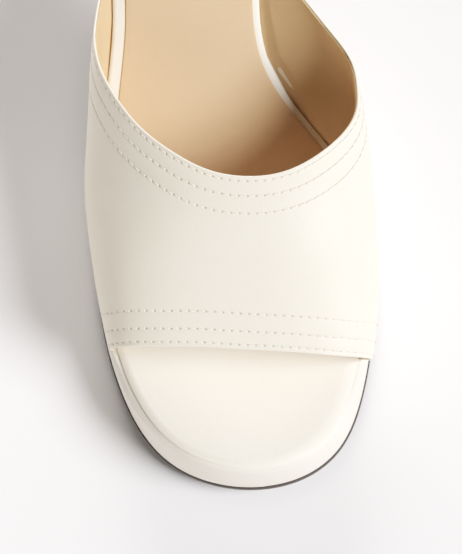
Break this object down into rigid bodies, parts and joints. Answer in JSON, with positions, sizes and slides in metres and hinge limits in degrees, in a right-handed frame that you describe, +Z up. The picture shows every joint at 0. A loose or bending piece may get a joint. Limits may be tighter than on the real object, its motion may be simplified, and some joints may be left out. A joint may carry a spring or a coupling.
{
  "type": "platform mule sandal",
  "caption": "Right open-toe platform mule sandal: one wide cream leather band over a padded insole, wrapped platform and block heel, thin dark outsole.",
  "frame": {"origin": "on the ground, under the middle of the shoe's box", "axes": "+Z up, toe towards -Y and heel towards +Y, inner side of the foot (big toe side) towards +X"},
  "size_m": [0.0897, 0.2367, 0.0796],
  "materials": {
    "upper_leather": "smooth cream leather with a soft sheen, three rows of matching stitching along each edge",
    "lining_leather": "smooth matt tan lining leather",
    "platform_leather": "smooth cream leather wrapped over the platform",
    "insole_leather": "smooth cream leather over a thin pad",
    "sock_leather": "smooth matt tan sock leather",
    "heel_leather": "smooth cream leather wrapped over the heel block",
    "outsole_rubber": "thin dark brown outsole with a satin edge",
    "top_piece_rubber": "dark brown rubber, satin",
    "thread": "matching cream sewing thread"
  },
  "bodies": {
    "root": {"upper": "upper_leather", "platform": "platform_leather", "insole": "insole_leather", "heel": "heel_leather", "outsole": "outsole_rubber", "top_piece": "top_piece_rubber"}
  },
  "joints": []
}
